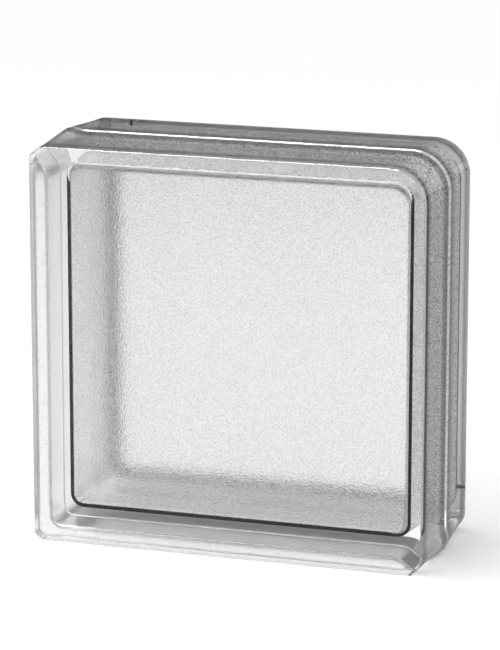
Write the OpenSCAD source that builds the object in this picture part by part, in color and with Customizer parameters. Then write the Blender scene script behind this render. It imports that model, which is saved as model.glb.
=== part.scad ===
// Hollow glass block for the end of a wall: the top and right sides are finished to be seen,
// the left and bottom sides have a mortar channel between two lips.
// Two pressed halves are fused at mid depth, where a fine bead marks the seam, and close in an air space.
// X is the width, Y the depth and Z the height. The block stands on its two bottom lips, and the origin
// is the middle of the floor under it.

/* [Block] */
// Width from the left lips to the right corner pad
block_w = 190; // [150:1:300]
// Height from the bottom lips to the top corner pad
block_h = 190; // [150:1:300]
// Depth from face to face
block_d = 80; // [76:1:90]
// Radius of the rounded edges round both faces
edge_r = 5.5; // [4:0.5:5.5]
// Fall of the sides from the seam to each face, in degrees
side_draft = 4; // [2:0.5:4]
// Radius of the three plain corners, at the seam
plain_corner_r = 10.5; // [9:0.5:12]

/* [Finished sides] */
// Radius of the corner between the two finished sides, at the seam
finished_corner_r = 18; // [16:0.5:30]
// Thickness of the glass behind a finished side
finished_wall = 6.5; // [5:0.5:7]

/* [Corner pads] */
// How far the pad at the end of a finished side stands above it
pad_rise = 1.4; // [0.8:0.1:2]
// Length of the pad's flat, between its round corner and its ramp
pad_flat = 0.5; // [0.5:0.5:4]
// Length of the ramp from the pad down to the finished side, along the seam
ramp_l = 4; // [3:0.5:8]
// How far the pad's edges stand back from the faces and the lips
pad_inset = 1; // [0.5:0.5:2]

/* [Mortar channel] */
// Width of the lip between a face and the mouth of the channel
lip_w = 11; // [9:0.5:14]
// Width of the flat along a lip, beside the mouth of the channel
lip_flat = 4; // [2:0.5:4]
// Depth of the channel below the lips
channel_depth = 5.5; // [4:0.5:7]
// Lean of the channel's flanks, in degrees
flank_lean = 25; // [10:1:35]
// Radius where a flank meets the bed
bed_fillet_r = 3; // [1.5:0.5:3.5]
// Radius of the bed round the corner between the two mortar sides
bed_corner_r = 5; // [3:0.5:8]
// Radius of the curve by which the bed runs out at its ends
runout_r = 15; // [14:1:20]
// Distance from a corner pad's crest to where the bed starts to run out
bed_stop = 20; // [20:1:40]

/* [Air space] */
// Thickness of each face
face_t = 9; // [6:0.5:12]
// Thickness of the glass between the channel's bed and the air space
mortar_wall = 8.5; // [6:0.5:11]
// Fall of the inner walls from the seam to each face, in degrees
inner_draft = 3; // [1:0.5:4]
// Radius between the inner walls and the faces
inner_edge_r = 4; // [2:0.5:4.5]
// Radius of the inner corners beside the mortar sides, at the seam
inner_corner_r = 8; // [7.5:0.5:15]

/* [Seam] */
// Radius of the fused bead
bead_r = 1.5; // [1:0.1:2]
// How far the bead stands out of the glass
bead_rise = 0.5; // [0.3:0.1:0.7]

/* [Hidden] */
$fn = 96;
// Runs and cutters reach this far beyond what they shape
beyond = 6;
left = -block_w / 2;
right = block_w / 2;
half_d = block_d / 2;
finished_right = right - pad_rise;
finished_top = block_h - pad_rise;
ramp_angle = atan(pad_rise / ramp_l);
// A pad's blank is carried on this far, to where the ramp has sunk its edges into the finished side
ramp_reach = 4 * ramp_l;
// A pad's corner is turned about an axis nearer to the lips than the block's own corner
pad_corner_r = plain_corner_r - 2 * pad_inset;
bead_sink = bead_r - bead_rise;
mouth_half = half_d - lip_w;
bed_half = mouth_half - channel_depth * tan(flank_lean);
cut_h = channel_depth + beyond;
// The crest of a mortar side stands this far beyond the lips until it is trimmed flat with them
trim = (mouth_half + lip_flat) * tan(side_draft);
crest_left = left - trim;
crest_bottom = -trim;
// Length of a pad from the lips to the start of its ramp
pad_l = pad_inset + pad_corner_r - trim + pad_flat;
inner_half_d = half_d - face_t;
inner_left = left + channel_depth + mortar_wall;
inner_bottom = channel_depth + mortar_wall;
inner_right = finished_right - finished_wall;
inner_top = finished_top - finished_wall;
inner_finished_r = finished_corner_r - finished_wall;

// Carries a flat section, X outwards and Y across the depth, up along Z
module run_z(z_from, z_to) {
    translate([0, 0, z_from])
        linear_extrude(z_to - z_from)
            children();
}

// Carries a flat section, X turned up and Y across the depth, along X
module run_x(x_from, x_to) {
    translate([x_to, 0, 0])
        rotate([0, -90, 0])
            linear_extrude(x_to - x_from)
                children();
}

// Carries a flat section round a quarter turn, from the right to the top, or turned on by `turn`
module run_corner(x, z, turn = 0) {
    translate([x, 0, z])
        rotate([0, -turn, 0])
            rotate([90, 0, 0])
                rotate_extrude(angle = 90)
                    children();
}

// Carries an outline in X and Z through the depth
module through_depth(depth) {
    rotate([90, 0, 0])
        linear_extrude(depth, center = true)
            children();
}

// Section of a side that falls from its crest at the seam, at X = 0, to a rounded edge at each face
module crown(thickness, half, draft, r) {
    round_v = half - r;
    round_u = -round_v * tan(draft) - r / cos(draft);
    touch_u = round_u + r * cos(draft);
    touch_v = round_v + r * sin(draft);
    polygon([
        [-thickness, -half],
        [round_u, -half],
        [touch_u, -touch_v],
        [0, 0],
        [touch_u, touch_v],
        [round_u, half],
        [-thickness, half]
    ]);
    for (side = [-1, 1])
        translate([round_u, side * round_v])
            intersection() {
                circle(r);
                translate([0, -2 * r])
                    square([2 * r, 4 * r]);
            }
}

// Front view of a pressed body without its corners: `near` is the size of the three plain corners,
// and `far` that of the corner between the top and the right
module crossed_outline(x_from, x_to, z_from, z_to, near, far) {
    polygon([
        [x_from + near, z_from],
        [x_to - near, z_from],
        [x_to - near, z_from + near],
        [x_to, z_from + near],
        [x_to, z_to - far],
        [x_to - far, z_to - far],
        [x_to - far, z_to],
        [x_from + near, z_to],
        [x_from + near, z_to - near],
        [x_from, z_to - near],
        [x_from, z_from + near],
        [x_from + near, z_from + near]
    ]);
}

// Pressed body with its crests at the given limits: four falling sides, round corners, rounded faces' edges
module pressed_body(x_from, x_to, z_from, z_to, half, draft, r, near, far) {
    span = x_to - x_from + z_to - z_from;
    intersection() {
        run_z(z_from - beyond, z_to + beyond)
            translate([x_to, 0])
                crown(span, half, draft, r);
        run_z(z_from - beyond, z_to + beyond)
            translate([x_from, 0])
                mirror([1, 0])
                    crown(span, half, draft, r);
        run_x(x_from - beyond, x_to + beyond)
            translate([z_to, 0])
                crown(span, half, draft, r);
        run_x(x_from - beyond, x_to + beyond)
            translate([z_from, 0])
                mirror([1, 0])
                    crown(span, half, draft, r);
        through_depth(2 * (half + beyond))
            crossed_outline(x_from, x_to, z_from, z_to, near, far);
    }
    run_corner(x_to - far, z_to - far)
        translate([far, 0])
            crown(far, half, draft, r);
    run_corner(x_from + near, z_to - near, 90)
        translate([near, 0])
            crown(near, half, draft, r);
    run_corner(x_from + near, z_from + near, 180)
        translate([near, 0])
            crown(near, half, draft, r);
    run_corner(x_to - near, z_from + near, 270)
        translate([near, 0])
            crown(near, half, draft, r);
}

// Section of a pad, a little narrower than the block so that its edges stand back from the faces
module pad_section() {
    crown(pad_corner_r, half_d - pad_inset, side_draft, edge_r - pad_inset);
}

// Roof-shaped room under the slope by which a pad runs down to its finished side
module ramp_room() {
    half = half_d + beyond;
    eaves = half * tan(side_draft);
    rotate([0, ramp_angle, 0])
        run_x(-2 * ramp_reach, 2 * ramp_reach)
            polygon([
                [0, 0],
                [-eaves, half],
                [-2 * ramp_reach, half],
                [-2 * ramp_reach, -half],
                [-eaves, -half]
            ]);
}

// Pad at the left end of a finished top: its round corner, its short flat and its ramp
module corner_pad(crest_low, crest_high) {
    corner_x = crest_low + pad_inset + pad_corner_r;
    ramp_x = crest_low + trim + pad_l;
    intersection() {
        union() {
            run_corner(corner_x, crest_high - pad_corner_r, 90)
                translate([pad_corner_r, 0])
                    pad_section();
            run_x(corner_x, ramp_x + ramp_reach)
                translate([crest_high, 0])
                    pad_section();
        }
        translate([ramp_x, 0, crest_high])
            ramp_room();
    }
}

// Fused bead along the crest of the finished sides, from pad to pad
module seam_bead() {
    corner_x = finished_right - finished_corner_r;
    corner_z = finished_top - finished_corner_r;
    run_x(left + pad_l, corner_x)
        translate([finished_top - bead_sink, 0])
            circle(bead_r);
    run_corner(corner_x, corner_z)
        translate([finished_corner_r - bead_sink, 0])
            circle(bead_r);
    run_z(pad_l, corner_z)
        translate([finished_right - bead_sink, 0])
            circle(bead_r);
}

// Half space that trims the mortar sides flat with their lips
module trimmed_room() {
    translate([left, -block_d, 0])
        cube([2 * block_w, 2 * block_d, 2 * block_h]);
}

// Whole block without its channel and air space
module solid_block() {
    intersection() {
        union() {
            pressed_body(crest_left, finished_right, crest_bottom, finished_top,
                half_d, side_draft, edge_r, plain_corner_r, finished_corner_r);
            corner_pad(crest_left, block_h);
            mirror([1, 0, -1])
                corner_pad(crest_bottom, right);
            seam_bead();
        }
        trimmed_room();
    }
}

// Section that cuts the channel, X outwards from its bed at X = 0, with the fused bead left along the bed
module channel_section() {
    fillet_v = bed_half + bed_fillet_r * tan(flank_lean) - bed_fillet_r / cos(flank_lean);
    touch_u = bed_fillet_r - bed_fillet_r * sin(flank_lean);
    touch_v = fillet_v + bed_fillet_r * cos(flank_lean);
    cut_half = bed_half + cut_h * tan(flank_lean);
    difference() {
        union() {
            polygon([
                [0, -fillet_v],
                [touch_u, -touch_v],
                [cut_h, -cut_half],
                [cut_h, cut_half],
                [touch_u, touch_v],
                [0, fillet_v]
            ]);
            for (side = [-1, 1])
                translate([bed_fillet_r, side * fillet_v])
                    circle(bed_fillet_r);
        }
        translate([-bead_sink, 0])
            circle(bead_r);
    }
}

// Channel round the left and bottom sides, running out in a curve before the finished sides
module mortar_channel() {
    bed_x = left + channel_depth;
    corner_x = bed_x + bed_corner_r;
    corner_z = channel_depth + bed_corner_r;
    stop_x = right - bed_stop;
    stop_z = block_h - bed_stop;
    run_corner(bed_x - runout_r, stop_z)
        translate([runout_r, 0])
            mirror([1, 0])
                channel_section();
    run_z(corner_z, stop_z)
        translate([bed_x, 0])
            mirror([1, 0])
                channel_section();
    run_corner(corner_x, corner_z, 180)
        translate([bed_corner_r, 0])
            channel_section();
    run_x(corner_x, stop_x)
        translate([channel_depth, 0])
            mirror([1, 0])
                channel_section();
    run_corner(stop_x, channel_depth - runout_r)
        translate([runout_r, 0])
            mirror([1, 0])
                channel_section();
}

// Sealed air space between the halves
module air_space() {
    pressed_body(inner_left, inner_right, inner_bottom, inner_top,
        inner_half_d, inner_draft, inner_edge_r, inner_corner_r, inner_finished_r);
}

module glass_block() {
    color([0.86, 0.89, 0.87, 0.45])
        difference() {
            solid_block();
            mortar_channel();
            air_space();
        }
}

glass_block();
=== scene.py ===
# %% [markdown]
# A hollow glass block, worked out as surfaces.
# The real block is two pressed glass halves fused at mid depth. Its top and right sides are finished. Its
# left and bottom sides have a mortar channel between two lips. This lesson loads the measured block and
# works out its outer skin and its sealed air space as two grids of points. Then it gives each surface its
# finish: polished outside, stippled inside and coated in the channel. Painted shade lies on a narrow strip
# of the inner edge, in lines along the finished sides and where the glass slants away, and the walls behind
# the finished sides get dark specks painted in as shade.

import bpy
import numpy as np
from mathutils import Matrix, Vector


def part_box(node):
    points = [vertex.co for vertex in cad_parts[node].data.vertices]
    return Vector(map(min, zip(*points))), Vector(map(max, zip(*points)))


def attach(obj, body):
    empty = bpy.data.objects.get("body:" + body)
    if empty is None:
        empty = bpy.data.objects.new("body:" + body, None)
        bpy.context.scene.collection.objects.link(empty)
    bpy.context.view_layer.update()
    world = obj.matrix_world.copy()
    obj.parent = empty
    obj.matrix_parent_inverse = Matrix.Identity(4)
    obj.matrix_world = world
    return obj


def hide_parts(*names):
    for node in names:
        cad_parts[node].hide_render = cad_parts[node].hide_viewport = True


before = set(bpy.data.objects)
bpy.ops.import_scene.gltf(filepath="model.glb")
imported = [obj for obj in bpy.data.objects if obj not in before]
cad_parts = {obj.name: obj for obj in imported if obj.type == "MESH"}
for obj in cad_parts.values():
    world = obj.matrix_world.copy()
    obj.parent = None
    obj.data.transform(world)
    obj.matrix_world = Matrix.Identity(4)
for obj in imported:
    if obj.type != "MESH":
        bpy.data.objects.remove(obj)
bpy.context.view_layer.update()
low, high = (np.array(corner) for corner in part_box("glass_block"))
print("block measures", (high - low).round(4), "m")

# %% [markdown]
# Every size of the moulded form is a named value in metres. Only the overall box comes from the loaded
# block. Depth is counted from the seam at mid depth: it is zero at the fused bead and half the depth at a
# face.

# %% Sizes of the moulded form
MM = 0.001
LEFT, RIGHT, TOP = low[0], high[0], high[2]
HALF_DEPTH = high[1]

EDGE_R = 5.5 * MM
SIDE_FALL = np.tan(np.radians(4.0))
PLAIN_CORNER_R = 10.5 * MM
FINISHED_CORNER_R = 18.0 * MM
FINISHED_WALL = 6.5 * MM

PAD_RISE = 1.4 * MM
PAD_FLAT = 0.5 * MM
PAD_INSET = 1.0 * MM
RAMP_LENGTH = 4.0 * MM

LIP_WIDTH = 11.0 * MM
LIP_FLAT = 4.0 * MM
CHANNEL_DEPTH = 5.5 * MM
FLANK_LEAN = np.radians(25.0)
BED_FILLET_R = 3.0 * MM
BED_CORNER_R = 5.0 * MM
RUNOUT_R = 15.0 * MM
BED_STOP = 20.0 * MM

FACE_THICKNESS = 9.0 * MM
MORTAR_WALL = 8.5 * MM
INNER_FALL = np.tan(np.radians(3.0))
INNER_EDGE_R = 4.0 * MM
INNER_CORNER_R = 8.0 * MM

BEAD_R = 1.5 * MM
BEAD_RISE = 0.5 * MM

MOUTH_HALF = HALF_DEPTH - LIP_WIDTH
BED_HALF = MOUTH_HALF - CHANNEL_DEPTH * np.tan(FLANK_LEAN)
TRIM = (MOUTH_HALF + LIP_FLAT) * SIDE_FALL
PAD_CORNER_R = PLAIN_CORNER_R - 2 * PAD_INSET
PAD_LENGTH = PAD_INSET + PAD_CORNER_R - TRIM + PAD_FLAT
CREST = {"left": LEFT - TRIM, "bottom": -TRIM, "right": RIGHT - PAD_RISE, "top": TOP - PAD_RISE}
BED_X, BED_Z = LEFT + CHANNEL_DEPTH, CHANNEL_DEPTH
print("lips trimmed by", round(TRIM / MM, 2), "mm, bed half width", round(BED_HALF / MM, 2), "mm")

# %% [markdown]
# A pressed side falls from its crest at the seam to a rounded edge at each face. That is one formula of the
# depth: how far the glass stands in from the crest. The same formula with other sizes serves the pads at the
# ends of the finished sides and the air space inside. Bead and channel are formulas of the depth too.

# %% Profiles over the depth
def fall_in(depth, half, fall, edge_r):
    """Inset of a side at a depth: depth times the fall, then a circle of edge_r.
    The circle ends square on the face."""
    lean = np.arctan(fall)
    away = np.abs(depth)
    centre = half - edge_r
    straight = away * fall
    reach = np.clip(away - centre, 0.0, edge_r)
    rounded = centre * fall + edge_r / np.cos(lean) - np.sqrt(edge_r**2 - reach**2)
    return np.where(away < centre + edge_r * np.sin(lean), straight, rounded)


def bead_height(depth):
    """Height of the fused bead at a depth: a circle of BEAD_R that stands out by BEAD_RISE.
    Beside the bead it stays at BEAD_RISE minus BEAD_R, which is 1 mm below nought."""
    return np.sqrt(np.clip(BEAD_R**2 - depth**2, 0.0, None)) - (BEAD_R - BEAD_RISE)


def channel_height(depth):
    """Height of the channel's surface over its bed at a depth.
    From the seam outwards: bead, flat bed, fillet, leaning flank."""
    away = np.abs(depth)
    fillet = BED_HALF + BED_FILLET_R * np.tan(FLANK_LEAN) - BED_FILLET_R / np.cos(FLANK_LEAN)
    touch = fillet + BED_FILLET_R * np.cos(FLANK_LEAN)
    reach = np.clip(away - fillet, 0.0, BED_FILLET_R)
    curve = BED_FILLET_R - np.sqrt(BED_FILLET_R**2 - reach**2)
    flank = (away - BED_HALF) / np.tan(FLANK_LEAN)
    return np.maximum(np.where(away < touch, curve, flank), bead_height(depth))


# %% [markdown]
# The skin is a profile carried along a path. The path is a rectangle inside the glass, and at each of its
# corners it turns on the spot, so that the profile fans out round the corner. At every step the profile says
# how far the glass reaches from the path. Round corners are then a ray that leaves a circle.

# %% A path inside the glass, and how far a ray runs to the skin
CORNER_TURNS = 30
SIDE_STEPS = 60
QUARTER_TURN = 90.0
TINY = 1e-9


def closed_path(x_from, x_to, z_from, z_to):
    """Points and outward directions round a rectangle, anticlockwise from the right side.
    At each corner the point stays and the direction makes a quarter turn."""
    ease = np.linspace(0.0, 1.0, SIDE_STEPS)[1:-1]
    ease = 0.5 - 0.5 * np.cos(np.pi * ease)
    corners = np.array([[x_to, z_from], [x_to, z_to], [x_from, z_to], [x_from, z_from]])
    points, angles = [], []
    for k, start in enumerate(corners):
        end = corners[(k + 1) % len(corners)]
        points.append(start + ease[:, None] * (end - start))
        angles.append(np.full(len(ease), k * QUARTER_TURN))
        points.append(np.repeat(end[None], CORNER_TURNS, axis=0))
        angles.append(k * QUARTER_TURN + np.linspace(0.0, QUARTER_TURN, CORNER_TURNS))
    angles = np.radians(np.concatenate(angles))
    return np.concatenate(points), np.stack([np.cos(angles), np.sin(angles)], axis=1)


def ray_to_box(points, out, crest, inset, radii):
    """Distance from each path point to a rounded rectangle that stands in from its crests by inset.
    The ray stops at the nearer side, or at the corner's circle where that side's corner is rounded."""
    px, pz = points[:, :1], points[:, 1:]
    ox, oz = out[:, :1], out[:, 1:]
    to_x = np.where(ox > 0, crest["right"] - inset - px, px - crest["left"] - inset)
    to_z = np.where(oz > 0, crest["top"] - inset - pz, pz - crest["bottom"] - inset)
    reach = np.minimum(to_x / np.maximum(np.abs(ox), TINY), to_z / np.maximum(np.abs(oz), TINY))
    for (side, level), radius in radii.items():
        sx, sz = (1 if side == "right" else -1), (1 if level == "top" else -1)
        cx, cz = crest[side] - sx * radius, crest[level] - sz * radius
        along = (cx - px) * ox + (cz - pz) * oz
        across = (cx - px) * oz - (cz - pz) * ox
        circle = along + np.sqrt(np.clip((radius - inset) ** 2 - across**2, 0.0, None))
        in_corner = (sx * (px + reach * ox - cx) > 0) & (sz * (pz + reach * oz - cz) > 0)
        reach = np.where(in_corner, circle, reach)
    return reach


def soft_min(a, b, soft):
    """The smaller of two distances, with the edge between them rounded over the distance soft."""
    near = np.clip(1.0 - np.abs(a - b) / soft, 0.0, 1.0)
    return np.minimum(a, b) - soft * near**2 / 4.0


# %% [markdown]
# The outer skin starts as the pressed body with its bead. A pad is added at the free end of each finished
# side, and the mortar sides are trimmed flat with their lips. Each of these is a distance along the same
# ray, so joining is a maximum and cutting a minimum. A ray's lean to a side is nought along that side and
# one square to it. A ray that meets nothing gets a distance far beyond the block.
# Known fault: beside the bead its height is 1 mm below the crest, and the maximum holds the outer sides
# there. So they stop falling 1 mm in from the crest, and their rounded edges are missing from this look. The
# measured block has both.

# %% Pressed body and pads as distances from the path
CORNERS = {("right", "top"): FINISHED_CORNER_R, ("left", "top"): PLAIN_CORNER_R,
           ("left", "bottom"): PLAIN_CORNER_R, ("right", "bottom"): PLAIN_CORNER_R}
PAD_SOFT = 0.8 * MM
FAR = 1.0
ANY_LEAN, SOME_LEAN = 1e-6, 0.01


def pad_reach(points, out, depth, crest, corner, along, ramp_from):
    """Distance to a pad: a narrower pressed body with a higher crest.
    Its roof slopes down past ramp_from, a place on the axis along (0 for X, 1 for Z)."""
    half = HALF_DEPTH - PAD_INSET
    inset = fall_in(np.clip(depth, -half, half), half, SIDE_FALL, EDGE_R - PAD_INSET)
    reach = ray_to_box(points, out, crest, inset, {corner: PAD_CORNER_R})
    met = points[:, along:along + 1] + reach * out[:, along:along + 1]
    past = np.clip(met - ramp_from, 0.0, None)
    reach = reach - np.clip(past * PAD_RISE / RAMP_LENGTH + np.abs(depth) * SIDE_FALL - inset, 0.0, None)
    return np.where(np.abs(depth) < half, reach, 0.0)


def body_reach(points, out, depth):
    """Distance to the pressed body with its bead and pads, trimmed flat at the mortar sides.
    The maximum with the bead holds the sides 1 mm in from the crest: the known fault."""
    px, pz = points[:, :1], points[:, 1:]
    ox, oz = out[:, :1], out[:, 1:]
    rise = np.maximum(-fall_in(depth, HALF_DEPTH, SIDE_FALL, EDGE_R), bead_height(depth))
    reach = ray_to_box(points, out, CREST, -rise, CORNERS)
    high_crest = dict(CREST, top=TOP, left=CREST["left"] + PAD_INSET)
    wide_crest = dict(CREST, right=RIGHT, bottom=CREST["bottom"] + PAD_INSET)
    pad_top = pad_reach(points, out, depth, high_crest, ("left", "top"), 0, LEFT + PAD_LENGTH)
    pad_right = pad_reach(points, out, depth, wide_crest, ("right", "bottom"), 1, PAD_LENGTH)
    on_top = (oz > SOME_LEAN) & (px < 0)
    on_right = (ox > SOME_LEAN) & (pz < TOP / 2)
    reach = np.where(on_top, -soft_min(-reach, -pad_top, PAD_SOFT), reach)
    reach = np.where(on_right, -soft_min(-reach, -pad_right, PAD_SOFT), reach)
    to_left = np.where(ox < -ANY_LEAN, (LEFT - px) / np.minimum(ox, -TINY), FAR)
    to_floor = np.where(oz < -ANY_LEAN, -pz / np.minimum(oz, -TINY), FAR)
    return np.minimum(reach, np.minimum(to_left, to_floor))


# %% [markdown]
# The channel keeps one profile all the way. Along a mortar side it lies square to the path, in the lower
# left corner it fans round with the path, and past its stops it follows a circle that leaves the glass.

# %% Channel and its run-outs, and the whole outer skin
CHANNEL_TURN = BED_X + BED_CORNER_R, BED_Z + BED_CORNER_R
STOP_X, STOP_Z = RIGHT - BED_STOP, TOP - BED_STOP
EDGE_SOFT = 1.0 * MM
HALF_TURNED, SQUARE_ON = 0.7, 0.999999


def runout_reach(points, out, depth, centre):
    """Distance to the curve by which the channel runs out.
    The ray enters a circle round a centre outside the block. A ray that misses the circle gets FAR."""
    radius = RUNOUT_R - channel_height(depth)
    gap = points - np.array(centre)
    along = (gap * out).sum(axis=1, keepdims=True)
    inside = along**2 - (gap**2).sum(axis=1, keepdims=True) + radius**2
    enters = (inside > 0) & (radius > 0) & (along < 0)
    return np.where(enters, -along - np.sqrt(np.clip(inside, 0.0, None)), FAR)


def channel_reach(points, out, depth):
    """Distance to the channel: the bed's distance plus the height over it.
    Past the stops it is the distance to the run-outs."""
    px, pz = points[:, :1], points[:, 1:]
    ox, oz = out[:, :1], out[:, 1:]
    left_run = (ox < -SQUARE_ON) & (pz <= STOP_Z)
    bottom_run = (oz < -SQUARE_ON) & (px <= STOP_X)
    turn = (ox < 0) & (oz < 0)
    channel = np.where(left_run | bottom_run | turn, BED_CORNER_R + channel_height(depth), FAR)
    left_end = runout_reach(points, out, depth, (BED_X - RUNOUT_R, STOP_Z))
    right_end = runout_reach(points, out, depth, (STOP_X, BED_Z - RUNOUT_R))
    near_left_end = (ox < -HALF_TURNED) & (pz > STOP_Z)
    near_right_end = (oz < -HALF_TURNED) & (px > STOP_X)
    return np.where(near_left_end, left_end, np.where(near_right_end, right_end, channel))


def outer_reach(points, out, depth):
    """Distance from the path to the outer skin, for every path step (rows) and every depth (columns)."""
    body = body_reach(points, out, depth)
    return soft_min(body, channel_reach(points, out, depth), EDGE_SOFT)


# %% [markdown]
# Grid lines across the depth are packed where the profile bends: round the edges, on the flanks and at the
# bead. Each mark says from which depth to which, and in how many steps.

# %% Depth lines for a profile
EDGE_LINES = 20
BEAD_ZONE, FLANK_FROM, FLANK_TO = 1.2 * MM, 24.0 * MM, 31.0 * MM


def edge_start(half, edge_r, fall):
    """Depth at which a falling side meets the circle of its edge."""
    return half - edge_r + edge_r * np.sin(np.arctan(fall))


def depth_lines(half, edge_r, fall, marks):
    """Depths from face to face: even steps between the marks, then equal turns round the edge's circle."""
    turn = np.radians(np.linspace(np.degrees(np.arctan(fall)), QUARTER_TURN, EDGE_LINES))
    edge = half - edge_r + edge_r * np.sin(turn)
    steps = [np.linspace(start, end, count, endpoint=False) for (start, end, count) in marks]
    positive = np.concatenate(steps + [edge])
    return np.concatenate([-positive[:0:-1], positive])


OUTER_START = edge_start(HALF_DEPTH, EDGE_R, SIDE_FALL)
outer_marks = [(0.0, BEAD_ZONE, 8), (BEAD_ZONE, FLANK_FROM, 12), (FLANK_FROM, FLANK_TO, 30),
               (FLANK_TO, OUTER_START, 8)]
outer_depth = depth_lines(HALF_DEPTH, EDGE_R, SIDE_FALL, outer_marks)
print("outer profile has", len(outer_depth), "depth lines")

# %% [markdown]
# A closed skin is the grid of the profile along the path, closed on itself, with a flat cap at each end. A
# narrow flat ring lies inside each cap's rim, so that the smooth shading of the rounded edge stops there and
# the face stays optically flat.

# %% From distances to a closed skin
RING = 0.4 * MM


def skin_points(points, out, depth, reach):
    """Places of the grid: path point plus reach times the outward direction, and the depth as Y."""
    xz = points[:, None, :] + reach[:, :, None] * out[:, None, :]
    y = np.broadcast_to(depth, reach.shape)
    return np.stack([xz[..., 0], y, xz[..., 1]], axis=-1)


def skin_faces(rows, columns, first=0):
    """Quads of a grid that closes on itself along its rows, and the two caps as single faces."""
    index = first + np.arange(rows * columns).reshape(rows, columns)
    following = np.roll(index, -1, axis=0)
    quads = np.stack([index[:, :-1], index[:, 1:], following[:, 1:], following[:, :-1]], axis=-1)
    return quads.reshape(-1, 4), index[:, 0], index[::-1, -1]


def closed_skin(path, depth, reach, face_reach):
    """Grid of a skin with a flat ring added inside each rim."""
    points, out = path
    reach = np.concatenate([face_reach, reach, face_reach], axis=1)
    depth = np.concatenate([depth[:1], depth, depth[-1:]])
    return skin_points(points, out, depth, reach)


outer_path = closed_path(CHANNEL_TURN[0], CREST["right"] - FINISHED_CORNER_R,
                         CHANNEL_TURN[1], CREST["top"] - FINISHED_CORNER_R)
outer = outer_reach(*outer_path, outer_depth[None])
outer_grid = closed_skin(outer_path, outer_depth, outer, outer[:, :1] - RING)
print("outer skin grid", outer_grid.shape)

# %% [markdown]
# The air space is the same kind of pressed body, smaller, seen from inside.

# %% Air space
INNER_LINES = 24
INNER_HALF = HALF_DEPTH - FACE_THICKNESS
INNER_CREST = {"left": BED_X + MORTAR_WALL, "bottom": BED_Z + MORTAR_WALL,
               "right": CREST["right"] - FINISHED_WALL, "top": CREST["top"] - FINISHED_WALL}
INNER_ROUND_R = FINISHED_CORNER_R - FINISHED_WALL
INNER_CORNERS = {key: INNER_CORNER_R for key in CORNERS}
INNER_CORNERS[("right", "top")] = INNER_ROUND_R

inner_marks = [(0.0, edge_start(INNER_HALF, INNER_EDGE_R, INNER_FALL), INNER_LINES)]
inner_depth = depth_lines(INNER_HALF, INNER_EDGE_R, INNER_FALL, inner_marks)
inner_path = closed_path(INNER_CREST["left"] + INNER_ROUND_R, INNER_CREST["right"] - INNER_ROUND_R,
                         INNER_CREST["bottom"] + INNER_ROUND_R, INNER_CREST["top"] - INNER_ROUND_R)
inner_inset = fall_in(inner_depth, INNER_HALF, INNER_FALL, INNER_EDGE_R)[None]
inner = ray_to_box(*inner_path, INNER_CREST, inner_inset, INNER_CORNERS)
inner_grid = closed_skin(inner_path, inner_depth, inner, inner[:, :1] - RING)
print("air space grid", inner_grid.shape)

# %% [markdown]
# The inner face of a real block meets its walls in a tight turn. Seen from the front, that turn bends the
# view far to the side and shows as a black line at the left, at the bottom and at the right of the air
# space. That line is painted shade: a narrow strip of the turn's faces is painted nearly black, narrower on
# the right. Along the top no such line shows, so the painted strip tapers off in the upper corners.

# %% Which faces lie on the strip of painted shade
DARK_TURN, DARK_TURN_RIGHT = 68.0, 44.0
DARK_BELOW = 0.7


def on_painted_shade_strip(depth, out):
    """True from the start of the inner edge's circle to an angle of its turn.
    The angle goes from the first value to the second as the side turns to the right.
    It goes to nought as the side turns up."""
    circle = INNER_HALF - INNER_EDGE_R
    rightward = np.clip(out[:, 0], 0.0, 1.0)
    taper = np.clip(1.0 - np.clip(out[:, 1], 0.0, 1.0) / DARK_BELOW, 0.0, 1.0)
    turn = np.radians(DARK_TURN + (DARK_TURN_RIGHT - DARK_TURN) * rightward) * taper
    end = circle + INNER_EDGE_R * np.sin(turn)
    return (np.abs(depth) > circle) & (np.abs(depth) < end)


# %% [markdown]
# The finished sides look darker than the mortar sides, and that is painted shade. Each point of the mesh
# therefore carries one number, its share of a finished side. The polished finish reads it outside to place
# its painted seam shade; the share fades round the corners, so that no line shows between a finished side
# and a mortar side. Inside it picks the walls that lie behind the finished sides, which get painted dark
# specks.

# %% Share of a finished side
MOSTLY = 0.5


def finished_share(out, depth, fade_to, fade_over):
    """Larger of the two outward directions over HALF_TURNED, held to one, times a fade towards the face.
    On the faces it is nought."""
    side = np.clip(np.maximum(out[:, 0], out[:, 1]) / HALF_TURNED, 0.0, 1.0)
    near_face = np.clip((fade_to - np.abs(depth)) / fade_over, 0.0, 1.0)
    share = side[:, None] * near_face
    share[:, [0, -1]] = 0.0
    return share.ravel()


outer_share = finished_share(outer_path[1], outer_grid[..., 1], HALF_DEPTH + MM, MM)
inner_share = finished_share(inner_path[1], inner_grid[..., 1], INNER_HALF, INNER_EDGE_R)
print("points on finished sides:", int((outer_share > MOSTLY).sum() + (inner_share > MOSTLY).sum()))

# %% [markdown]
# Both skins go into one mesh, because the real block is one piece of glass. The air space is turned inside
# out, so that every face looks away from the glass. The channel of a real block is coated to hold the
# mortar, so the faces that lie deeper than the lips are numbered apart. The numbers are the order of the
# finishes.

# %% One closed mesh of glass
OUTSIDE, AIR_SPACE, CHANNEL, PAINTED_SHADE_STRIP, INNER_WALLS = range(5)
COAT_FROM = 0.15 * MM
COAT_PAST_MOUTH = 1.5 * MM


def in_channel(centres):
    """True for face centres between the lips and the bed of a mortar side, as far as the run-outs reach."""
    deep_left = (centres[:, 0] > LEFT + COAT_FROM) & (centres[:, 0] < BED_X + MORTAR_WALL / 2)
    deep_floor = (centres[:, 2] > COAT_FROM) & (centres[:, 2] < BED_Z + MORTAR_WALL / 2)
    across = np.abs(centres[:, 1]) < MOUTH_HALF + COAT_PAST_MOUTH
    inside_ends = (centres[:, 0] < STOP_X + RUNOUT_R) & (centres[:, 2] < STOP_Z + RUNOUT_R)
    return across & inside_ends & (deep_left | deep_floor)


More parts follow.
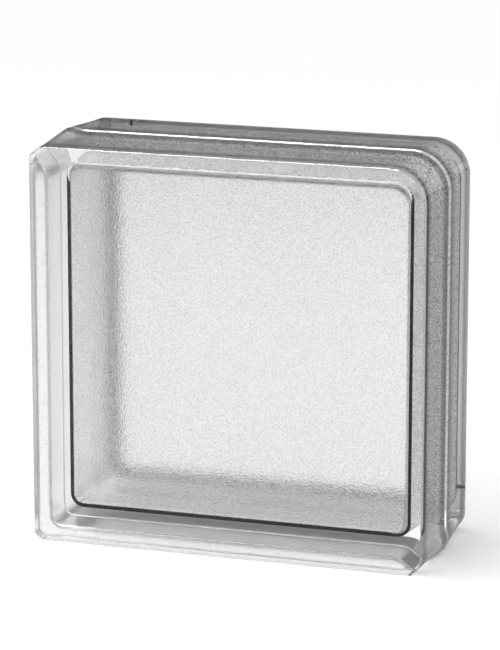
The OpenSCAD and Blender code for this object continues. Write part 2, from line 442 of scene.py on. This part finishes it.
def glass_mesh(name):
    """Joins the outer skin and the reversed inner skin, and numbers every face by its surface."""
    rows, columns = outer_grid.shape[:2]
    inner_rows, inner_columns = inner_grid.shape[:2]
    quads, front, back = skin_faces(rows, columns)
    inner_quads, inner_front, inner_back = skin_faces(inner_rows, inner_columns, rows * columns)
    vertices = np.concatenate([outer_grid.reshape(-1, 3), inner_grid.reshape(-1, 3)])
    coated = in_channel(vertices[quads].mean(axis=1))
    outward = np.repeat(inner_path[1], inner_columns - 1, axis=0)
    # Faces on the inner turn that are painted nearly black as shade.
    turned = on_painted_shade_strip(vertices[inner_quads].mean(axis=1)[:, 1], outward)
    walls = inner_share[inner_quads - rows * columns].mean(axis=1) > MOSTLY
    outside = np.where(coated, CHANNEL, OUTSIDE)
    inside = np.where(turned, PAINTED_SHADE_STRIP, np.where(walls, INNER_WALLS, AIR_SPACE))
    finish = np.concatenate([outside, [OUTSIDE, OUTSIDE], inside, [AIR_SPACE, AIR_SPACE]])
    share = np.concatenate([outer_share, inner_share])
    faces = quads.tolist() + [front.tolist(), back.tolist()]
    faces += inner_quads[:, ::-1].tolist() + [inner_front[::-1].tolist(), inner_back[::-1].tolist()]
    mesh = bpy.data.meshes.new(name)
    mesh.from_pydata(vertices.tolist(), [], faces)
    mesh.polygons.foreach_set("material_index", finish.astype(np.int32))
    mesh.polygons.foreach_set("use_smooth", np.ones(len(faces), bool))
    mesh.attributes.new("finished", "FLOAT", "POINT").data.foreach_set("value", share.astype(np.float32))
    mesh.update()
    print(name, "has", len(faces), "faces, by surface", np.bincount(finish).tolist())
    return mesh


block = bpy.data.objects.new("block_glass", glass_mesh("block_glass"))
bpy.context.scene.collection.objects.link(block)
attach(block, "root")
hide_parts("glass_block")

# %% [markdown]
# A finish is a small network of nodes. One helper adds a node and fills its sockets, with a number where the
# value is plain and with a link where another node drives it. The others start an empty material, mix two
# colours and drive a shader's colour with the mixture.

# %% Helpers for node networks
def wire(tree, kind, *sockets, **settings):
    """Adds a node, sets its properties, and gives each socket its value or its link."""
    node = tree.nodes.new(kind)
    for key, value in settings.items():
        setattr(node, key, value)
    for key, value in sockets:
        if isinstance(value, bpy.types.NodeSocket):
            tree.links.new(value, node.inputs[key])
        else:
            node.inputs[key].default_value = value
    return node


def new_material(name, roughness):
    """An empty node material with its shader, and the shader's roughness."""
    material = bpy.data.materials.new(name)
    material.use_nodes = True
    shader = material.node_tree.nodes["Principled BSDF"]
    shader.inputs["Roughness"].default_value = roughness
    return material, material.node_tree, shader


def blend(tree, factor, first, second):
    """A colour between two others; each of the two is a colour or a link."""
    node = wire(tree, "ShaderNodeMix", ("Factor", factor), data_type="RGBA")
    for socket, value in ((node.inputs[6], first), (node.inputs[7], second)):
        if isinstance(value, bpy.types.NodeSocket):
            tree.links.new(value, socket)
        else:
            socket.default_value = value
    return node.outputs[2]


def tint(tree, shader, factor, first, second):
    """Drives the shader's base colour between two colours."""
    tree.links.new(blend(tree, factor, first, second), shader.inputs["Base Color"])


# %% [markdown]
# Pressed glass, the coat and the studio paper all have a grain. It is one shared effect: noise in the
# object's own coordinates, given once as it is and once as a mask that rises between two levels. A grain is
# described by four numbers: its scale, its detail and the two levels.

# %% Shared grain
GRAIN_INPUTS = {"Scale": 1000.0, "Detail": 1.0, "Low": 0.3, "High": 0.7}


def make_grain():
    """Node group: noise of a scale and detail.
    Its mask is the same noise stretched from low..high to nought..one."""
    tree = bpy.data.node_groups.new("grain", "ShaderNodeTree")
    for name, value in GRAIN_INPUTS.items():
        socket = tree.interface.new_socket(name, in_out="INPUT", socket_type="NodeSocketFloat")
        socket.default_value = value
    for name in ("Grain", "Speck"):
        tree.interface.new_socket(name, in_out="OUTPUT", socket_type="NodeSocketFloat")
    given = tree.nodes.new("NodeGroupInput").outputs
    result = tree.nodes.new("NodeGroupOutput").inputs
    place = tree.nodes.new("ShaderNodeTexCoord").outputs["Object"]
    noise = wire(tree, "ShaderNodeTexNoise", ("Vector", place), ("Scale", given["Scale"]),
                 ("Detail", given["Detail"]))
    mask = wire(tree, "ShaderNodeMapRange", ("Value", noise.outputs["Fac"]), ("From Min", given["Low"]),
                ("From Max", given["High"]))
    tree.links.new(noise.outputs["Fac"], result["Grain"])
    tree.links.new(mask.outputs["Result"], result["Speck"])
    return tree


grain_group = make_grain()


def add_grain(tree, numbers):
    """Puts the shared grain into a material with its own scale, detail and levels."""
    return wire(tree, "ShaderNodeGroup", *zip(GRAIN_INPUTS, numbers), node_tree=grain_group).outputs


print("shared grain has the inputs", list(GRAIN_INPUTS))

# %% [markdown]
# The outside is fire-polished. Its finished sides get painted shade in lines along the seam: bright at the
# bead, dark beside it, lighter between, and dark again at the rounded edge. They are a ramp over the depth.
# Where the surface slants away from the eye the glass is painted darker, which draws the thin grey outline
# of a clear block.

# %% Polished outside
GLASS_IOR = 1.52
CLEAR, CLEAR_WAVE = (0.985, 0.99, 0.986, 1.0), (0.965, 0.98, 0.97, 1.0)
WAVE = (40.0, 1.0, 0.35, 0.65)
# Stops of the painted seam shade: depth over half the depth, and grey tone.
PAINTED_SEAM_STOPS = ((0.0, 0.95), (0.03, 0.95), (0.07, 0.14), (0.18, 0.25), (0.28, 0.92), (0.70, 0.92),
              (0.80, 0.14), (0.90, 0.25), (1.0, 0.9))
RIM_FROM, RIM_TO = 0.62, 0.95
# Dark tint painted as shade where the glass slants away from the eye.
PAINTED_RIM_SHADE = (0.12, 0.14, 0.125, 1.0)


def new_glass(name, roughness, transmission):
    """A new material whose shader lets light through like glass."""
    material, tree, shader = new_material(name, roughness)
    shader.inputs["Transmission Weight"].default_value = transmission
    shader.inputs["IOR"].default_value = GLASS_IOR
    return material, tree, shader


def painted_seam_shade(tree):
    """Painted shade over the depth: the distance from the seam over half the depth, through a ramp of stops.
    """
    place = tree.nodes.new("ShaderNodeTexCoord").outputs["Object"]
    parts = wire(tree, "ShaderNodeSeparateXYZ", (0, place))
    away = wire(tree, "ShaderNodeMath", (0, parts.outputs["Y"]), operation="ABSOLUTE")
    level = wire(tree, "ShaderNodeMath", (0, away.outputs[0]), (1, float(HALF_DEPTH)), operation="DIVIDE")
    node = wire(tree, "ShaderNodeValToRGB", (0, level.outputs[0]))
    ramp = node.color_ramp
    while len(ramp.elements) < len(PAINTED_SEAM_STOPS):
        ramp.elements.new(0.5)
    for element, (at, tone) in zip(ramp.elements, PAINTED_SEAM_STOPS):
        element.position = at
        element.color = (tone, tone, tone, 1.0)
    return node.outputs["Color"]


def polished_glass():
    """Clear glass with faint waves in its tint and painted shade in seam lines on the finished sides.
    It is painted darker where it slants away."""
    material, tree, shader = new_glass("polished_glass", 0.0, 1.0)
    wave = add_grain(tree, WAVE)["Speck"]
    side = wire(tree, "ShaderNodeAttribute", attribute_name="finished").outputs["Fac"]
    # On the finished sides the base colour takes the painted seam shade.
    body = blend(tree, side, blend(tree, wave, CLEAR, CLEAR_WAVE), painted_seam_shade(tree))
    slant = wire(tree, "ShaderNodeLayerWeight", ("Blend", 0.5)).outputs["Facing"]
    rim = wire(tree, "ShaderNodeMapRange", ("Value", slant), ("From Min", RIM_FROM), ("From Max", RIM_TO))
    tint(tree, shader, rim.outputs["Result"], body, PAINTED_RIM_SHADE)
    return material


# %% [markdown]
# The moulds stipple the inside, so the block lets light through but blurs the view. A fine grain tilts the
# surface and mottles its tint. Behind a finished side the eye meets the stipple at a low angle, where it
# throws the light about and shows as dark and bright specks. Those walls get dark specks painted in as
# shade, and a finish that lets less light through.

# %% Stippled inside
STIPPLE_SCALE, STIPPLE_DETAIL = 1300.0, 1.0
STIPPLE_HEIGHT = 0.5 * MM
STIPPLE_ROUGHNESS = 0.22
MOTTLE_LEVELS, MOTTLE_TILT = (0.35, 0.60), 0.3
MOTTLE_TINTS = (0.72, 0.725, 0.715, 1.0), (1.0, 1.0, 0.995, 1.0)
SPECK_LEVELS, SPECK_TILT = (0.37, 0.60), 0.6
# The dark tint of these specks is painted shade.
PAINTED_SPECK_TINTS = (0.10, 0.105, 0.10, 1.0), (0.95, 0.95, 0.94, 1.0)
WALL_LETS_THROUGH = 0.6


def stipple(name, transmission, levels, tints, tilt):
    """Frosted glass: one fine grain as bump and as specks between a dark and a light tint."""
    material, tree, shader = new_glass(name, STIPPLE_ROUGHNESS, transmission)
    fine = add_grain(tree, (STIPPLE_SCALE, STIPPLE_DETAIL, *levels))
    tint(tree, shader, fine["Speck"], *tints)
    bump = wire(tree, "ShaderNodeBump", ("Strength", tilt), ("Distance", STIPPLE_HEIGHT),
                ("Height", fine["Grain"]))
    tree.links.new(bump.outputs["Normal"], shader.inputs["Normal"])
    return material


def stippled_glass():
    """The inside of the faces and of the mortar sides: pale mottle."""
    return stipple("stippled_glass", 1.0, MOTTLE_LEVELS, MOTTLE_TINTS, MOTTLE_TILT)


def stippled_wall_painted_specks():
    """The inside of the finished sides: strong specks, the dark ones painted shade."""
    return stipple("stippled_wall_painted_specks", WALL_LETS_THROUGH, SPECK_LEVELS, PAINTED_SPECK_TINTS, SPECK_TILT)


# %% [markdown]
# The channel's coat is a thin whitish film with pits. It lets most light through and has no shine of its
# own. The strip of painted shade on the inner turn is nearly black, with a little grain.

# %% Coated channel and strip of painted shade
PITS = (600.0, 3.0, 0.32, 0.45)
PIT_TINT, FILM_TINT = (0.74, 0.74, 0.73, 1.0), (0.985, 0.985, 0.975, 1.0)
FILM_ROUGHNESS, FILM_LETS_THROUGH = 0.35, 0.95
# Mottle and nearly black tints of the painted shade on the inner turn.
STRIP_MOTTLE = (900.0, 1.0, 0.4, 0.6)
PAINTED_SHADE_TINTS = (0.02, 0.024, 0.02, 1.0), (0.05, 0.055, 0.05, 1.0)
STRIP_ROUGHNESS = 0.6


def coated_channel():
    """Whitish translucent film with darker pits."""
    material, tree, shader = new_glass("coated_channel", FILM_ROUGHNESS, FILM_LETS_THROUGH)
    shader.inputs["Specular IOR Level"].default_value = 0.0
    tint(tree, shader, add_grain(tree, PITS)["Speck"], PIT_TINT, FILM_TINT)
    return material


def painted_shade_turn():
    """Painted shade, nearly black, for the turn of the inner edge."""
    material, tree, shader = new_material("painted_shade_turn", STRIP_ROUGHNESS)
    shader.inputs["Specular IOR Level"].default_value = 0.0
    tint(tree, shader, add_grain(tree, STRIP_MOTTLE)["Speck"], *PAINTED_SHADE_TINTS)
    return material


for make in (polished_glass, stippled_glass, coated_channel, painted_shade_turn, stippled_wall_painted_specks):
    block.data.materials.append(make())
print("finishes:", [material.name for material in block.data.materials])

# %% [markdown]
# The studio floor is plain pale paper. Clear glass shows what stands behind it, so the floor gets a second
# task: seen through the glass it glows as a white field that fades with distance, and mirrored on the
# outside of the glass its glow is greyer, so that the block keeps an outline on the white ground.

# %% Floor
FLOOR_HALF = 3.0
PAPER_ROUGHNESS = 0.9
FIBRE = (300.0, 2.0, 0.3, 0.7)
PAPER_TINTS = (0.945, 0.945, 0.945, 1.0), (0.955, 0.955, 0.955, 1.0)
FADE_FROM, FADE_TO, FADE_END = 0.6, 2.4, 0.15
FLOOR_MIRRORED = 0.3


def level_corners(x_range, y_range, height):
    """Corners of a level rectangle, anticlockwise from the near left."""
    (x_low, x_high), (y_low, y_high) = x_range, y_range
    return [(x_low, y_low, height), (x_high, y_low, height),
            (x_high, y_high, height), (x_low, y_high, height)]


def stage_mesh(name, corners):
    """One face through the given corners, set up as part of the studio."""
    mesh = bpy.data.meshes.new(name)
    mesh.from_pydata(corners, [], [tuple(range(len(corners)))])
    sheet = bpy.data.objects.new(name, mesh)
    bpy.context.scene.collection.objects.link(sheet)
    return sheet


def dimmed_in_mirror(tree, plain, mirrored):
    """A strength: the plain one, or the mirrored one for a ray mirrored by the outside of the glass.
    Such a ray counts as glossy and has not come through the glass."""
    ray = tree.nodes.new("ShaderNodeLightPath").outputs
    off_glass = wire(tree, "ShaderNodeMath", (0, ray["Is Glossy Ray"]), (1, ray["Is Transmission Ray"]),
                     operation="SUBTRACT", use_clamp=True)
    strength = wire(tree, "ShaderNodeMapRange", ("Value", off_glass.outputs[0]), ("To Min", plain),
                    ("To Max", mirrored))
    return strength.outputs["Result"]


def floor_paper():
    """Pale paper; a fading white glow for rays that come through the glass or off it."""
    material, tree, shader = new_material("floor_paper", PAPER_ROUGHNESS)
    shader.inputs["Specular IOR Level"].default_value = 0.0
    tint(tree, shader, add_grain(tree, FIBRE)["Speck"], *PAPER_TINTS)
    ray = tree.nodes.new("ShaderNodeLightPath").outputs
    by_glass = wire(tree, "ShaderNodeMath", (0, ray["Is Transmission Ray"]), (1, ray["Is Glossy Ray"]),
                    operation="MAXIMUM")
    place = tree.nodes.new("ShaderNodeTexCoord").outputs["Object"]
    away = wire(tree, "ShaderNodeVectorMath", (0, place), operation="LENGTH")
    fade = wire(tree, "ShaderNodeMapRange", ("Value", away.outputs["Value"]), ("From Min", FADE_FROM),
                ("From Max", FADE_TO), ("To Min", 1.0), ("To Max", FADE_END),
                interpolation_type="SMOOTHSTEP")
    level = wire(tree, "ShaderNodeMath", (0, fade.outputs["Result"]),
                 (1, dimmed_in_mirror(tree, 1.0, FLOOR_MIRRORED)), operation="MULTIPLY")
    field = wire(tree, "ShaderNodeEmission", ("Strength", level.outputs[0]))
    choose = wire(tree, "ShaderNodeMixShader", (0, by_glass.outputs[0]), (1, shader.outputs[0]),
                  (2, field.outputs[0]))
    tree.links.new(choose.outputs[0], tree.nodes["Material Output"].inputs["Surface"])
    return material


floor_range = (-FLOOR_HALF, FLOOR_HALF)
floor = stage_mesh("studio_floor", level_corners(floor_range, floor_range, 0.0))
floor.data.materials.append(floor_paper())
print("floor measures", 2 * FLOOR_HALF, "m across")

# %% [markdown]
# Glass needs dark things around it for its lines and white things for its highlights. A dark card stands far
# behind the block, and a bright panel hangs above it. The camera sees neither, and they throw no shadow. The
# panel is there for its mirrored highlight, and a little of its light also comes through the glass.

# %% Card and panel
WHITE = (1.0, 1.0, 1.0, 1.0)
CARD_MOTTLE = (20.0, 2.0, 0.3, 0.7)
CARD_TINTS = (0.025, 0.025, 0.025, 1.0), (0.035, 0.035, 0.035, 1.0)
CARD_RADIUS, CARD_HEIGHT = 2.0, 2.4
CARD_FROM, CARD_TO, CARD_STEPS = 70.0, 140.0, 8
PANEL_X, PANEL_Y, PANEL_HEIGHT = (-0.8, 0.1), (-1.7, 0.35), 1.2
PANEL_GLOW = 30.0


def card_paper(name, glow):
    """Dark grey card with a faint mottle, or the same card as a glowing panel."""
    material, tree, shader = new_material(name, PAPER_ROUGHNESS)
    shader.inputs["Specular IOR Level"].default_value = 0.0
    shader.inputs["Emission Color"].default_value = WHITE
    shader.inputs["Emission Strength"].default_value = glow
    tint(tree, shader, add_grain(tree, CARD_MOTTLE)["Speck"], *CARD_TINTS)
    return material


def studio_card(name, corners, glow=0.0):
    """A card hidden from the camera and from diffuse rays.
    A glowing one is hidden from transmission rays too."""
    card = stage_mesh(name, corners)
    card.data.materials.append(card_paper(name, glow))
    card.visible_camera = False
    card.visible_diffuse = False
    card.visible_shadow = False
    card.visible_transmission = glow == 0.0
    return card


turns = np.radians(np.linspace(CARD_FROM, CARD_TO, CARD_STEPS))
arc = CARD_RADIUS * np.stack([np.cos(turns), np.sin(turns)], axis=1)
studio_card("card_back", [(x, y, 0.0) for x, y in arc] + [(x, y, CARD_HEIGHT) for x, y in arc[::-1]])
studio_card("panel_top", level_corners(PANEL_X, PANEL_Y, PANEL_HEIGHT), PANEL_GLOW)
print("studio: dark card behind, bright panel above")

# %% [markdown]
# The light itself is plain: a white surrounding all round and one soft lamp from the upper left, which gives
# the block its faint shadow. Mirrored on the glass the surrounding is greyer, for the same outline as above.

# %% Surrounding and lamp
AMBIENT, AMBIENT_MIRRORED = 1.0, 0.4
LAMP_PLACE, LAMP_AIM = (-0.35, -0.6, 1.3), (0.0, 0.0, 0.1)
LAMP_SIZE, LAMP_POWER = 1.0, 5.0

world = bpy.data.worlds.new("studio")
bpy.context.scene.world = world
world.use_nodes = True
ambient = dimmed_in_mirror(world.node_tree, AMBIENT, AMBIENT_MIRRORED)
background = world.node_tree.nodes["Background"]
background.inputs["Color"].default_value = WHITE
world.node_tree.links.new(ambient, background.inputs["Strength"])


def soft_lamp(name, place, target, size, power):
    """A square area lamp at a place, turned to face a target."""
    light = bpy.data.lights.new(name, "AREA")
    light.size = size
    light.energy = power
    lamp = bpy.data.objects.new(name, light)
    bpy.context.scene.collection.objects.link(lamp)
    lamp.location = place
    lamp.rotation_euler = (Vector(target) - Vector(place)).to_track_quat("-Z", "Y").to_euler()
    return lamp


soft_lamp("key_lamp", LAMP_PLACE, LAMP_AIM, LAMP_SIZE, LAMP_POWER)
print("lamp power", LAMP_POWER, "W")

# %% [markdown]
# The camera stands to the right of the block's middle and a little above it, so that the front, the top and
# the right side show. Its angles were fitted to the photo's outline.

# %% Camera
PIXELS_HIGH = 650
SENSOR = 36.0
FOCAL_PIXELS = 3437.0
TURN, RAISE = np.radians(18.1), np.radians(13.7)
DISTANCE = 1.6
AIM = np.array([-0.0017, 0.0, 0.1012])

towards = np.array([np.sin(TURN) * np.cos(RAISE), -np.cos(TURN) * np.cos(RAISE), np.sin(RAISE)])
lens = bpy.data.cameras.new("camera")
lens.sensor_fit = "VERTICAL"
lens.sensor_height = SENSOR
lens.lens = FOCAL_PIXELS / PIXELS_HIGH * SENSOR
camera = bpy.data.objects.new("camera", lens)
bpy.context.scene.collection.objects.link(camera)
camera.location = Vector(AIM + DISTANCE * towards)
camera.rotation_euler = Vector(-towards).to_track_quat("-Z", "Y").to_euler()
bpy.context.scene.camera = camera
print("camera at", np.round(AIM + DISTANCE * towards, 3))

# %% [markdown]
# Light crosses many glass surfaces on its way through the block, so paths may bounce often before they end.

# %% View and light paths
scene = bpy.context.scene
scene.view_settings.view_transform = "Standard"
scene.cycles.max_bounces = 32
scene.cycles.transmission_bounces = 32
scene.cycles.glossy_bounces = 16
scene.cycles.diffuse_bounces = 4
print("paths bounce up to", scene.cycles.max_bounces, "times")
